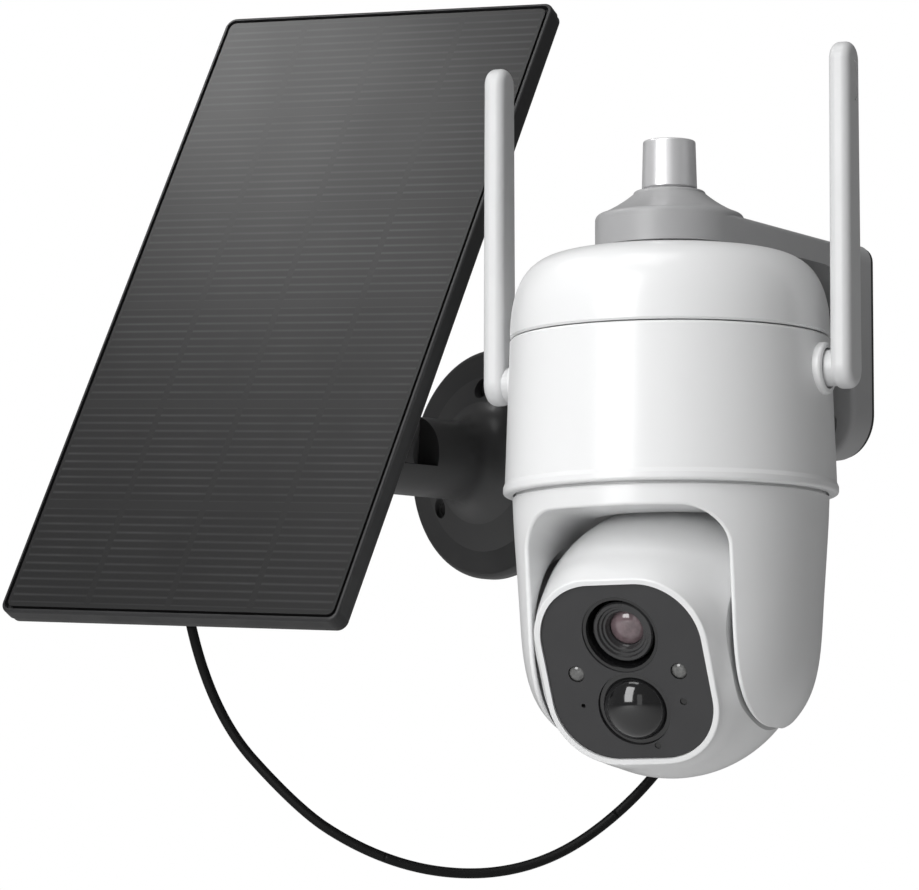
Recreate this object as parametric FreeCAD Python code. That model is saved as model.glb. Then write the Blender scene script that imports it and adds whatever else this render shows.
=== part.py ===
import FreeCAD, Part
import os, math

# ---------------------------------------------------------------------------
# Solar-powered pan-and-tilt security camera, wall mounted.
# Millimetres. +Z up, the wall is the plane Y = 0, the room is on the -Y side.
# Origin: centre of the back face of the bracket's wall plate.
# ---------------------------------------------------------------------------

# wall bracket
PLATE_W, PLATE_H, PLATE_T = 44.4, 58.6, 9.0
PLATE_R_TOP, PLATE_R_BOT = 5.0, 12.0
GASKET_T = 1.4
BRACKET_HOLE_R = 2.2
BRACKET_HOLE_DX, BRACKET_HOLE_DZ = 24.0, 32.0
AXIS_OUT = 57.5            # camera's vertical axis, distance from the wall
ARM_W = 40.2
ARM_TOP_BOSS, ARM_BOT_BOSS = 32.3, 24.6
ARM_TOP_WALL, ARM_BOT_WALL = 28.5, 21.8
CONE_R0, CONE_R1, CONE_TOP = 19.6, 8.9, 40.3
KNOB_R, KNOB_TOP = 7.2, 54.0

# camera housing (angles about the vertical axis, 0 = straight out from the wall)
HEADING = 22.4             # rest swivel of the housing
YOKE_TURN = -1.5           # rest turn of the yoke under the housing
SEAM_TOP, SEAM_BOT = -0.2, -42.3
R_SEAM_TOP, R_SEAM_BOT = 43.1, 44.6
CAP_TOP = 23.6
# cap outline (radius, height) from the seam to the crown
CAP_PROFILE = [(43.1, 1.0), (42.95, 4.0), (42.5, 8.2), (41.2, 13.2), (38.5, 18.1), (34.2, 21.4), (28.5, 22.85), (20.0, 23.4), (10.0, 23.6)]
# yoke outline (radius, height) from under the housing to the foot
YOKE_PROFILE = [(42.4, -43.2), (42.1, -50.0), (41.3, -62.0), (40.5, -74.0), (39.3, -87.0), (36.3, -97.0), (29.6, -105.2), (20.0, -110.6), (8.0, -113.2)]
WALL = 2.0

# antennas
ANT_R = 50.0               # radial place of the paddle's middle
ANT_W, ANT_T = 11.4, 6.0
ANT_PIVOT_Z, ANT_TIP_Z = -9.9, 77.4

# yoke and head
GAP_HALF = 28.6            # half the fork's gap
ARCH_TOP, ARCH_R = -48.4, 10.5
HEAD_Z, HEAD_R = -80.9, 36.8
HEAD_TILT = 26.5
HEAD_HALF = 27.4
FACE_D = 31.0
FACE_C = 4.2               # face centre above the radial line
FACE_W, FACE_H, FACE_RC = 22.8, 24.8, 16.5
LENS_UP, PIR_UP = 10.4, -10.7
LENS_R, PIR_R = 10.7, 10.2

# solar arm
BASE_X, BASE_Z, BASE_R = -124.5, -20.2, 33.8
BASE_ROLL = 3.76
BASE_PCD, BASE_HOLE_R = 44.4, 2.2
BASE_HOLE_TURN = 96.2
LAP_Z = -3.0               # the half-lap's parting plane, above the tube's axis
TUBE_R = 11.5
PIVOT_OUT = 50.0
PAN_REST = 13.6
LINK = 33.7
TILT_REST = 27.9
PANEL_A, PANEL_B, PANEL_SHIFT = 31.0, 26.7, -2.4
PANEL_W, PANEL_H, PANEL_T = 113.0, 202.8, 6.6
PANEL_RC = 3.2

CORD_D = 2.8

V = FreeCAD.Vector
os.makedirs("parts", exist_ok=True)
NODES = {}


def rot(axis, deg, base=V(0, 0, 0)):
    return FreeCAD.Placement(V(0, 0, 0), FreeCAD.Rotation(axis, deg), base)


def move(x, y, z):
    return FreeCAD.Placement(V(x, y, z), FreeCAD.Rotation())


X, Y, Z = V(1, 0, 0), V(0, 1, 0), V(0, 0, 1)
# the camera's own frame: x sideways, -y forward, z up, on its vertical axis
BODY = move(0, -AXIS_OUT, 0).multiply(rot(Z, HEADING))
YOKEF = BODY.multiply(rot(Z, YOKE_TURN))
HEAD = YOKEF.multiply(move(0, 0, HEAD_Z)).multiply(rot(X, HEAD_TILT))
BASE = move(BASE_X, 0, BASE_Z).multiply(rot(Y, BASE_ROLL))
LINKF = BASE.multiply(move(0, -PIVOT_OUT, 0)).multiply(rot(Z, PAN_REST))
PANEL = LINKF.multiply(move(0, -LINK, 0)).multiply(rot(X, -TILT_REST))


def put(name, shape, frame=None):
    s = shape.copy()
    if frame is not None:
        s.Placement = frame.multiply(s.Placement)
    solids = s.Solids
    if not solids:
        raise RuntimeError(name + " has no solid")
    if len(solids) == 1:
        s = solids[0]
    else:
        s = Part.makeCompound(solids)
    if not s.isValid():
        print("INVALID", name)
    NODES[name] = s
    s.exportStep("parts/%s.step" % name)


def box(x0, x1, y0, y1, z0, z1):
    return Part.makeBox(x1 - x0, y1 - y0, z1 - z0, V(x0, y0, z0))


def cyl(r, p, d, h):
    return Part.makeCylinder(r, h, V(*p), V(*d))


def tube(r1, r0, p, d, h):
    return cyl(r1, p, d, h).cut(cyl(r0, (p[0] - d[0], p[1] - d[1], p[2] - d[2]), d, h + 2))


def revolve(pts, axis=Z, smooth=()):
    """Closed (r, z) outline turned about Z. smooth lists (i, mid) arcs that
    replace the straight edge from point i to i+1, through the point mid."""
    vs = [V(r, 0, z) for r, z in pts]
    arcs = dict(smooth)
    edges = []
    n = len(vs)
    for i in range(n):
        a, b = vs[i], vs[(i + 1) % n]
        if i in arcs:
            m = arcs[i]
            edges.append(Part.Arc(a, V(m[0], 0, m[1]), b).toShape())
        else:
            edges.append(Part.LineSegment(a, b).toShape())
    f = Part.Face(Part.Wire(edges))
    return f.revolve(V(0, 0, 0), V(0, 0, 1), 360)


def rrect(x0, x1, z0, z1, r, y=0.0, r_bot=None):
    """Rounded rectangle wire in the plane y, corners r (r_bot below)."""
    rb = r if r_bot is None else r_bot
    k = 1 - math.sqrt(0.5)
    e = []

    def L(a, b):
        if a.distanceToPoint(b) > 1e-6:
            e.append(Part.LineSegment(a, b).toShape())
    p = lambda x, z: V(x, y, z)
    L(p(x0 + rb, z0), p(x1 - rb, z0))
    e.append(Part.Arc(p(x1 - rb, z0), p(x1 - rb * k, z0 + rb * k), p(x1, z0 + rb)).toShape())
    L(p(x1, z0 + rb), p(x1, z1 - r))
    e.append(Part.Arc(p(x1, z1 - r), p(x1 - r * k, z1 - r * k), p(x1 - r, z1)).toShape())
    L(p(x1 - r, z1), p(x0 + r, z1))
    e.append(Part.Arc(p(x0 + r, z1), p(x0 + r * k, z1 - r * k), p(x0, z1 - r)).toShape())
    L(p(x0, z1 - r), p(x0, z0 + rb))
    e.append(Part.Arc(p(x0, z0 + rb), p(x0 + rb * k, z0 + rb * k), p(x0 + rb, z0)).toShape())
    return Part.Wire(e)


def slab(w, y1):
    """Extrude a wire lying in a y plane to y1."""
    y0 = w.BoundBox.YMin
    return Part.Face(w).extrude(V(0, y1 - y0, 0))


def fillet(s, r, pick):
    """Round the edges that pick(edge) selects; keep the shape if it fails."""
    es = [e for e in s.Edges if pick(e)]
    if not es:
        print("no edges for fillet", r)
        return s
    for rr in (r, r * 0.8, r * 0.5):
        try:
            t = s.makeFillet(rr, es)
            if t.isValid() and t.Solids and abs(t.Volume - s.Volume) < 0.3 * s.Volume:
                return t
        except Exception:
            pass
    print("fillet failed", r)
    return s


def mid(e):
    return e.valueAt((e.FirstParameter + e.LastParameter) / 2.0)


def spline_turned(profile, start, end, t0, t1, d=0.0):
    """Solid turned about Z: a smooth outline through profile (radius, height),
    closed to the axis at the heights start and end. d moves the outline in."""
    pts = [V(r, 0, z) for r, z in profile]
    c = Part.BSplineCurve()
    c.interpolate(Points=pts, InitialTangent=V(t0[0], 0, t0[1]), FinalTangent=V(t1[0], 0, t1[1]))
    if d:
        n = 28
        out = []
        sgn = 1.0 if profile[-1][1] > profile[0][1] else -1.0
        for i in range(n + 1):
            u = c.FirstParameter + (c.LastParameter - c.FirstParameter) * i / n
            q, t = c.value(u), c.tangent(u)[0]
            out.append(V(q.x - sgn * t.z * d, 0, q.z + sgn * t.x * d))
        c = Part.BSplineCurve()
        c.interpolate(Points=out)
        pts = out
    a, b = pts[0], pts[-1]
    e = [c.toShape()]
    if abs(b.z - end) < 1e-6 or d:
        e.append(Part.LineSegment(b, V(0, 0, b.z)).toShape())
        ez = b.z
    else:
        e.append(Part.LineSegment(b, V(0, 0, end)).toShape())
        ez = end
    e.append(Part.LineSegment(V(0, 0, ez), V(0, 0, start)).toShape())
    if abs(start - a.z) > 1e-6:
        e.append(Part.LineSegment(V(0, 0, start), V(a.x, 0, start)).toShape())
        e.append(Part.LineSegment(V(a.x, 0, start), a).toShape())
    else:
        e.append(Part.LineSegment(V(0, 0, start), a).toShape())
    return Part.Face(Part.Wire(e)).revolve(V(0, 0, 0), Z, 360)


def corner_arc(a, b, c, t):
    """Tangent arc at corner b, starting t before it: start, middle, end."""
    u, w = (b - a), (c - b)
    u.normalize()
    w.normalize()
    s, f = b - u * t, b + w * t
    turn = u.getAngle(w)
    r = t / math.tan(turn / 2)
    bis = w - u
    bis.normalize()
    return s, b + bis * (r / math.cos(turn / 2) - r), f


# ---------------------------------------------------------------------------
# wall bracket: plate, round-ended arm, conical boss with a plain bore
# ---------------------------------------------------------------------------
plate = slab(rrect(-PLATE_W / 2, PLATE_W / 2, -PLATE_H / 2, PLATE_H / 2, PLATE_R_TOP, -PLATE_T, PLATE_R_BOT), -GASKET_T)
plate = fillet(plate, 1.6, lambda e: abs(mid(e).y + PLATE_T) < 0.01)
# screw holes go right through, with a shallow round recess for the heads
for sx in (-1, 1):
    for sz in (-1, 1):
        c = (sx * BRACKET_HOLE_DX / 2, -PLATE_T - 1, sz * BRACKET_HOLE_DZ / 2 - 4.0)
        plate = plate.cut(cyl(BRACKET_HOLE_R, c, (0, 1, 0), PLATE_T + 2))
        plate = plate.cut(cyl(4.2, c, (0, 1, 0), 3.6))

# arm side outline in the YZ plane, then cut by the round-ended plan outline
a0 = -AXIS_OUT - 22
wall_y = -PLATE_T + 1.0
b0, b1 = V(0, a0, ARM_BOT_BOSS), V(0, -AXIS_OUT + 10, ARM_BOT_BOSS)
b2, b3 = V(0, wall_y, ARM_BOT_WALL), V(0, wall_y, ARM_BOT_WALL - 20)
cs, cm, cf = corner_arc(b1, b2, b3, 11.0)
t_end, t1, t2 = V(0, wall_y, ARM_TOP_WALL), V(0, -AXIS_OUT + 4, ARM_TOP_BOSS), V(0, a0, ARM_TOP_BOSS)
e = [Part.LineSegment(b0, b1).toShape(), Part.LineSegment(b1, cs).toShape(), Part.Arc(cs, cm, cf).toShape(),
     Part.LineSegment(cf, t_end).toShape(), Part.LineSegment(t_end, t1).toShape(),
     Part.LineSegment(t1, t2).toShape(), Part.LineSegment(t2, b0).toShape()]
arm_side = Part.Face(Part.Wire(e)).extrude(V(ARM_W + 4, 0, 0))
arm_side.translate(V(-(ARM_W + 4) / 2, 0, 0))
R = ARM_W / 2
pl = [V(-R, 5, 0), V(-R, -AXIS_OUT, 0), V(0, -AXIS_OUT - R, 0), V(R, -AXIS_OUT, 0), V(R, 5, 0)]
pw = Part.Wire([Part.LineSegment(pl[0], pl[1]).toShape(), Part.Arc(pl[1], pl[2], pl[3]).toShape(),
                Part.LineSegment(pl[3], pl[4]).toShape(), Part.LineSegment(pl[4], pl[0]).toShape()])
arm_plan = Part.Face(pw).extrude(V(0, 0, 80))
arm = arm_side.common(arm_plan)
arm = arm.common(box(-60, 60, -200, wall_y, -60, 80))
arm = fillet(arm, 1.1, lambda e: mid(e).y < wall_y - 1.0 and mid(e).y > -AXIS_OUT + 3.9
             and abs(abs(mid(e).x) - R) < 0.02 and mid(e).z > ARM_TOP_WALL - 0.2)
# conical boss over the round end, its flank slightly hollow
cone = revolve([(0, ARM_TOP_BOSS - 2.0), (R - 0.02, ARM_TOP_BOSS - 2.0), (R - 0.02, ARM_TOP_BOSS), (CONE_R0 - 1.0, ARM_TOP_BOSS + 1.6),
                (CONE_R1 + 0.9, CONE_TOP - 0.9), (CONE_R1 - 0.1, CONE_TOP), (0, CONE_TOP)],
               smooth=[(2, (R - 0.35, ARM_TOP_BOSS + 0.95)), (3, (CONE_R1 + 5.3, ARM_TOP_BOSS + 3.9)), (4, (CONE_R1 + 0.6, CONE_TOP - 0.3))])
cone.translate(V(0, -AXIS_OUT, 0))
bracket = arm.fuse(cone).fuse(plate)
bracket = bracket.removeSplitter()
bracket = bracket.cut(cyl(3.08, (0, -AXIS_OUT, 0), (0, 0, 1), 80))
bracket = bracket.cut(cyl(6.2, (0, -AXIS_OUT, CONE_TOP - 1.2), (0, 0, 1), 10))
put("wall_bracket", bracket)

gw = rrect(-PLATE_W / 2 + 0.5, PLATE_W / 2 - 0.5, -PLATE_H / 2 + 0.5, PLATE_H / 2 - 0.5, PLATE_R_TOP - 0.5, -GASKET_T, PLATE_R_BOT - 0.5)
gasket = slab(gw, 0.0)
for sx in (-1, 1):
    for sz in (-1, 1):
        gasket = gasket.cut(cyl(BRACKET_HOLE_R, (sx * BRACKET_HOLE_DX / 2, -5, sz * BRACKET_HOLE_DZ / 2 - 4.0), (0, 1, 0), 10))
put("bracket_gasket", gasket)

# clamp knob: plain tapered cap on a threaded stud that screws into the camera
knob = revolve([(0, CONE_TOP + 0.3), (6.6, CONE_TOP + 0.3), (KNOB_R + 0.25, CONE_TOP + 0.9), (KNOB_R - 0.1, KNOB_TOP - 0.7),
                (KNOB_R - 0.8, KNOB_TOP), (0, KNOB_TOP)], smooth=[(3, (KNOB_R - 0.28, KNOB_TOP - 0.18))])
knob.translate(V(0, -AXIS_OUT, 0))
knob = knob.cut(cyl(3.0, (0, -AXIS_OUT, 0), (0, 0, 1), CONE_TOP + 8.0))
put("clamp_knob", knob)
put("clamp_stud", cyl(3.0, (0, -AXIS_OUT, 15.5), (0, 0, 1), CONE_TOP + 8.0 - 15.5))
put("knob_washer", tube(6.0, 3.08, (0, -AXIS_OUT, CONE_TOP - 1.1), (0, 0, 1), 1.1))

# ---------------------------------------------------------------------------
# camera housing
# ---------------------------------------------------------------------------
# domed cap: flat crown, big shoulder, thin seam below
rc = R_SEAM_TOP
cap_o = spline_turned(CAP_PROFILE, 1.0, CAP_TOP, (-0.02, 1), (-1, 0.0))
lip = revolve([(0, SEAM_TOP + 0.35), (rc - 0.5, SEAM_TOP + 0.35), (rc, SEAM_TOP + 0.9), (rc, 1.0), (0, 1.0)])
cap_in = spline_turned(CAP_PROFILE, -3.0, CAP_TOP, (-0.02, 1), (-1, 0.0), WALL)
cap = cap_o.fuse(lip).removeSplitter().cut(cap_in)
boss = cyl(6.5, (0, 0, 10.4), (0, 0, 1), CAP_TOP - 10.4 - 0.5)
cap = cap.fuse(boss).removeSplitter().cut(cyl(4.0, (0, 0, 10.0), (0, 0, 1), 30.0))
put("top_cap", cap, BODY)
put("threaded_insert", tube(4.0, 3.05, (0, 0, 10.8), (0, 0, 1), 11.0), BODY)
put("cap_seal", tube(rc - 2.0, rc - 3.4, (0, 0, SEAM_TOP - 0.7), (0, 0, 1), 1.04), BODY)
put("swivel_pad", revolve([(3.4, CAP_TOP + 0.02), (10.0, CAP_TOP + 0.02), (10.0, ARM_BOT_BOSS - 0.04), (3.4, ARM_BOT_BOSS - 0.04)]), BODY)

rb = R_SEAM_BOT
hs = revolve([(0, SEAM_TOP), (rc - 0.5, SEAM_TOP), (rc, SEAM_TOP - 0.6), (rb - 0.15, SEAM_BOT + 3.4), (rb + 0.35, SEAM_BOT + 2.2),
              (rb + 0.35, SEAM_BOT + 1.2), (rb - 0.6, SEAM_BOT + 0.2), (0, SEAM_BOT + 0.2)],
             smooth=[(5, (rb + 0.1, SEAM_BOT + 0.46))])
hin = revolve([(0, SEAM_TOP + 1), (rc - 4.3, SEAM_TOP + 1), (rc - 4.3, SEAM_TOP - 1.2), (rc - WALL, SEAM_TOP - 1.2), (rb - WALL, SEAM_BOT + 5.1),
               (0, SEAM_BOT + 5.1)])
housing = hs.cut(hin)
housing = housing.cut(tube(rc - 1.95, rc - 3.45, (0, 0, SEAM_TOP - 0.72), (0, 0, 1), 3.0))
housing = housing.cut(cyl(42.3, (0, 0, SEAM_BOT - 5), (0, 0, 1), 5 + 2.9))
housing = housing.cut(cyl(11.0, (0, 0, SEAM_BOT - 5), (0, 0, 1), 20))
# antenna bosses: collar ring with a groove and a pivot hole, on both sides
for s in (-1, 1):
    d = (s, 0, 0)
    ringb = cyl(7.0, (s * 38.0, 0, ANT_PIVOT_Z), d, 7.2)
    ringb = fillet(ringb, 1.0, lambda e: abs(abs(mid(e).x) - 45.2) < 0.01)
    housing = housing.fuse(ringb)
    housing = housing.cut(cyl(5.5, (s * 42.3, 0, ANT_PIVOT_Z), d, 6.0))
    housing = housing.cut(cyl(2.6, (s * 30.0, 0, ANT_PIVOT_Z), d, 20.0))
    housing = housing.cut(revolve([(0, SEAM_TOP - 1.3), (rc - WALL, SEAM_TOP - 1.3), (rb - WALL, SEAM_BOT + 5.1), (0, SEAM_BOT + 5.1)]))
# charging port recess at the back, low down, and two button holes in it
PORT_Z, PORT_X = -34.2, 0.0
housing = housing.cut(cyl(4.3, (PORT_X, 35.0, PORT_Z), (0, 1, 0), 12.0))
housing = housing.cut(cyl(2.05, (12.5, 30.0, PORT_Z), (0.26, 0.9656, 0), 18.0))
housing = housing.cut(cyl(2.05, (-12.5, 30.0, PORT_Z), (-0.26, 0.9656, 0), 18.0))
put("housing_shell", housing, BODY)

# things inside the housing
put("inner_chassis", tube(10.0, 6.6, (0, 0, SEAM_BOT + 5.3), (0, 0, 1), 5.4).fuse(
    tube(33.0, 6.6, (0, 0, SEAM_BOT + 10.6), (0, 0, 1), 1.6)), BODY)
put("pan_bearing", tube(10.95, 9.66, (0, 0, SEAM_BOT + 2.9), (0, 0, 1), 2.1), BODY)
cells = [cyl(9.1, (sx * 9.5, -32.5, -9.5), (0, 1, 0), 65.0) for sx in (-1, 1)]
put("battery_cells", Part.makeCompound(cells), BODY)
holder = box(-20.5, 20.5, -33.6, 33.6, -20.4, -13.0)
for sx in (-1, 1):
    holder = holder.cut(cyl(9.25, (sx * 9.5, -32.6, -9.5), (0, 1, 0), 65.2))
put("battery_holder", holder, BODY)
put("main_board", box(-24.0, 24.0, -28.0, 28.0, -24.4, -22.8).cut(cyl(7.0, (0, 0, -30), (0, 0, 1), 12)), BODY)
put("wifi_module", box(23.6, 35.0, -9.0, 9.0, -2.6, 0.6).cut(cyl(3.6, (20, 0, ANT_PIVOT_Z), (1, 0, 0), 20)), BODY)
sp = cyl(9.5, (0, 0, 1.0), (0, 0, 1), 5.0).fuse(cyl(6.0, (0, 0, 6.0), (0, 0, 1), 2.2))
put("speaker", sp, BODY)
put("pan_motor", cyl(9.0, (20.0, 8.0, SEAM_BOT + 12.3), (0, 0, 1), 4.6), BODY)
# charging socket with its port ring
sock = cyl(4.1, (PORT_X, 35.1, PORT_Z), (0, 1, 0), 6.0).cut(cyl(2.0, (PORT_X, 37.0, PORT_Z), (0, 1, 0), 6.0))
put("charge_socket", sock, BODY)
for nm, sx in (("power_button", 1), ("reset_button", -1)):
    d = V(sx * 0.26, 0.9656, 0)
    p = V(sx * 12.5, 30.0, PORT_Z) + d * 7.6
    b = Part.makeCylinder(2.0, 6.4, p, d).fuse(Part.makeCylinder(3.0, 1.0, p, d))
    put(nm, b, BODY)
BTN_DIR = {1: BODY.Rotation.multVec(V(0.26, 0.9656, 0)), -1: BODY.Rotation.multVec(V(-0.26, 0.9656, 0))}

# ---------------------------------------------------------------------------
# antennas: slim paddles with round ends on a short radial pivot
# ---------------------------------------------------------------------------
for nm, s in (("antenna_left", -1), ("antenna_right", 1)):
    hw = ANT_W / 2
    x0, x1 = ANT_R - ANT_T / 2, ANT_R + ANT_T / 2
    # outline in the YZ plane: round foot on the pivot, slight taper to a round tip
    tw = hw - 0.7
    zt = ANT_TIP_Z - tw
    pts = [V(0, -hw, ANT_PIVOT_Z), V(0, -tw, zt), V(0, 0, ANT_TIP_Z), V(0, tw, zt), V(0, hw, ANT_PIVOT_Z), V(0, 0, ANT_PIVOT_Z - hw)]
    w = Part.Wire([Part.LineSegment(pts[0], pts[1]).toShape(), Part.Arc(pts[1], pts[2], pts[3]).toShape(),
                   Part.LineSegment(pts[3], pts[4]).toShape(), Part.Arc(pts[4], pts[5], pts[0]).toShape()])
    pad = Part.Face(w).extrude(V(ANT_T, 0, 0))
    pad.translate(V(x0, 0, 0))
    pad = fillet(pad, 2.3, lambda e: abs(mid(e).x - x0) < 0.01 or abs(mid(e).x - x1) < 0.01)
    # shallow oval dimple near the tip, on the outer face
    dim = cyl(2.6, (x1 - 0.35, 0, zt - 2.5), (1, 0, 0), 2.0).fuse(cyl(2.6, (x1 - 0.35, 0, zt - 8.5), (1, 0, 0), 2.0)).fuse(
        box(x1 - 0.35, x1 + 1.65, -2.6, 2.6, zt - 8.5, zt - 2.5))
    pad = pad.cut(dim)
    neck = cyl(4.9, (42.4, 0, ANT_PIVOT_Z), (1, 0, 0), x0 + 1.0 - 42.4)
    pin = cyl(2.55, (36.0, 0, ANT_PIVOT_Z), (1, 0, 0), 8.0)
    a = pad.fuse(neck).fuse(pin)
    if s < 0:
        a = a.mirror(V(0, 0, 0), X)
    put(nm, a, BODY)

# ---------------------------------------------------------------------------
# yoke: turned cup cut into a fork
# ---------------------------------------------------------------------------
YOKE_TOP = SEAM_BOT + 2.3


def yoke_body(d, top):
    if d == 0:
        b = spline_turned(YOKE_PROFILE, YOKE_PROFILE[0][1], YOKE_PROFILE[-1][1], (-0.03, -1), (-1, -0.03))
        t = revolve([(0, YOKE_PROFILE[0][1]), (42.4, YOKE_PROFILE[0][1]), (42.2, SEAM_BOT - 0.5), (41.6, SEAM_BOT - 0.3), (41.6, YOKE_TOP), (0, YOKE_TOP)])
        return b.fuse(t).removeSplitter()
    return spline_turned(YOKE_PROFILE, YOKE_PROFILE[0][1], YOKE_PROFILE[-1][1], (-0.03, -1), (-1, -0.03), d)


def yoke_r(z):
    P = YOKE_PROFILE
    if z > P[0][1]:
        return P[0][0]
    for (r0, z0), (r1, z1) in zip(P, P[1:]):
        if z1 <= z <= z0:
            return r0 + (r1 - r0) * (z - z0) / (z1 - z0)
    return P[-1][0]


yoke = yoke_body(0, None)
gapw = rrect(-GAP_HALF, GAP_HALF, -140.0, ARCH_TOP, ARCH_R, -60.0, 2.0)
gap = Part.Face(gapw).extrude(V(0, 120, 0))
yoke = yoke.cut(gap)
yoke = yoke.cut(Part.makeSphere(HEAD_R + 1.6, V(0, 0, HEAD_Z)))
# hollow arms and a shallow pocket above the arch
cav = yoke_body(WALL, SEAM_BOT - 2.6)
arms = box(GAP_HALF + WALL, 60, -60, 60, -130, SEAM_BOT - 2.6).fuse(box(-60, -GAP_HALF - WALL, -60, 60, -130, SEAM_BOT - 2.6))
yoke = yoke.cut(cav.common(arms))
yoke = yoke.cut(cyl(4.9, (0, 0, SEAM_BOT - 20), (0, 0, 1), 30))
for s in (-1, 1):
    yoke = yoke.cut(cyl(4.05, (s * (GAP_HALF - 1), 0, HEAD_Z), (s, 0, 0), 6.0))


def arch_edge(e):
    n = 7
    for i in range(n):
        q = e.valueAt(e.FirstParameter + (e.LastParameter - e.FirstParameter) * (i + 0.5) / n)
        if abs(q.x) > GAP_HALF + 0.05 or q.z > ARCH_TOP + 0.05:
            return False
        if abs(math.hypot(q.x, q.y) - yoke_r(q.z)) > 1.3 and q.z > -106:
            return False
    return True


yoke = fillet(yoke, 0.9, arch_edge)
put("yoke_shell", yoke, YOKEF)

# hollow pan shaft that carries the yoke and lets the wires through
shaft = tube(6.5, 3.4, (0, 0, YOKE_TOP), (0, 0, 1), 12.0).fuse(tube(9.6, 3.4, (0, 0, YOKE_TOP), (0, 0, 1), 2.6))
shaft = shaft.fuse(tube(4.8, 3.4, (0, 0, YOKE_TOP - 2.4), (0, 0, 1), 3.2))
put("pan_shaft", shaft.removeSplitter(), YOKEF)
tm = cyl(7.5, (GAP_HALF + 2.2, -1.0, HEAD_Z + 14.0), (1, 0, 0), 4.6)
put("tilt_motor", tm, YOKEF)
rp = cyl(4.0, (GAP_HALF + 3.6, 0, HEAD_Z), (-1, 0, 0), 7.6)
lp = cyl(4.0, (-GAP_HALF - 3.6, 0, HEAD_Z), (1, 0, 0), 7.6)
put("tilt_pins", Part.makeCompound([rp, lp]), YOKEF)

# ---------------------------------------------------------------------------
# head: ball with flat cheeks and a squared front, in its own tilted frame
# ---------------------------------------------------------------------------


def ball(d):
    return Part.makeSphere(HEAD_R - d).common(box(-HEAD_HALF + d, HEAD_HALF - d, -60, 60, -60, 60))


def head_section(y, d, n=48):
    """Outline at depth y of the surface stretched from the face's edge to the ball."""
    yf = -FACE_D - 0.6 + d
    w, h, r, R = FACE_W + 1.5 - d, FACE_H + 1.5 - d, FACE_RC + 1.2 - d * 0.5, HEAD_R - d
    sup = []
    for k in range(180):
        t = math.radians(2 * k)
        b = (w - r) * abs(math.cos(t)) + (h - r) * abs(math.sin(t)) + r + FACE_C * math.sin(t)
        dist = math.hypot(yf, b)
        at = math.atan2(b, -yf) + math.acos(min(1.0, R / dist))
        yt, zt = -R * math.cos(at), R * math.sin(at)
        if y <= yf:
            q = b
        elif y < yt:
            q = b + (zt - b) * (y - yf) / (yt - yf)
        else:
            q = math.sqrt(R * R - y * y)
        sup.append((t, q))
    pts = []
    for k in range(n):
        f = math.tau * k / n
        rr = min(q / math.cos(f - t) for t, q in sup if math.cos(f - t) > 0.1)
        pts.append(V(rr * math.cos(f), y, rr * math.sin(f)))
    c = Part.BSplineCurve()
    c.interpolate(Points=pts, PeriodicFlag=True)
    return Part.Wire([c.toShape()])


def head_front(d, y_end):
    yf = -FACE_D - 0.6 + d
    ys = [yf] + [y for y in (-27.0, -23.0, -19.0, -15.0, -11.0, -7.0, -3.0, 1.0) if y > yf + 1.5] + [y_end]
    s = Part.makeLoft([head_section(y, d) for y in ys], True, False)
    return s.common(box(-HEAD_HALF + d, HEAD_HALF - d, -60, 60, -60, 60))


front = head_front(0.0, 6.0)
front = fillet(front, 0.5, lambda e: abs(mid(e).y - (-FACE_D - 0.6)) < 0.02)
front = front.cut(head_front(2.0, 6.6))
rear = ball(0).common(box(-60, 60, 6.12, 60, -60, 60)).cut(ball(2.0))
# front opening for the face panel
op = slab(rrect(-FACE_W, FACE_W, FACE_C - FACE_H, FACE_C + FACE_H, FACE_RC, -FACE_D - 3.0), -FACE_D + 2.4)
front = front.cut(op)
for s in (-1, 1):
    front = front.fuse(cyl(6.2, (s * 19.5, 0, 0), (s, 0, 0), 6.2).common(box(-60, 60, -60, 6.0, -60, 60)))
    front = front.cut(cyl(4.05, (s * 15.0, 0, 0), (s, 0, 0), 15.0))
# card slot in the back, low down
rear = rear.cut(box(-8.5, 8.5, 15.0, 40.0, -26.0, -14.0))
put("head_front_shell", front, HEAD)
put("head_rear_shell", rear, HEAD)
cover = ball(0).common(box(-8.2, 8.2, 15.3, 40.0, -25.7, -14.3)).cut(ball(1.6))
put("card_cover", cover, HEAD)

FY = -FACE_D
fw = rrect(-FACE_W + 0.12, FACE_W - 0.12, FACE_C - FACE_H + 0.12, FACE_C + FACE_H - 0.12, FACE_RC - 0.12, FY)
face = slab(fw, FY + 2.0)
zl, zp = FACE_C + LENS_UP, FACE_C + PIR_UP
face = face.cut(cyl(LENS_R, (0, FY - 1, zl), (0, 1, 0), 5))
face = face.cut(cyl(PIR_R, (0, FY - 1, zp), (0, 1, 0), 5))
led_x, led_z = 14.6, FACE_C - 0.3
mic_x, mic_z, eye_x, eye_z, dot_x, dot_z = -14.4, FACE_C - 9.3, 14.3, FACE_C - 8.9, 4.6, FACE_C - 21.2
for s in (-1, 1):
    face = face.cut(cyl(2.3, (s * led_x, FY - 1, led_z), (0, 1, 0), 5))
face = face.cut(cyl(0.6, (mic_x, FY - 1, mic_z), (0, 1, 0), 5))
face = face.cut(cyl(1.0, (eye_x, FY - 1, eye_z), (0, 1, 0), 5))
face = face.cut(cyl(0.9, (dot_x, FY - 1, dot_z), (0, 1, 0), 5))
put("face_panel", face, HEAD)


def turned(pts, z, smooth=()):
    """Outline (r, depth) turned about the optical axis at height z."""
    s = revolve(pts, smooth=smooth)
    s.Placement = FreeCAD.Placement(V(0, FY, z), FreeCAD.Rotation(X, 90))
    return s


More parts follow.
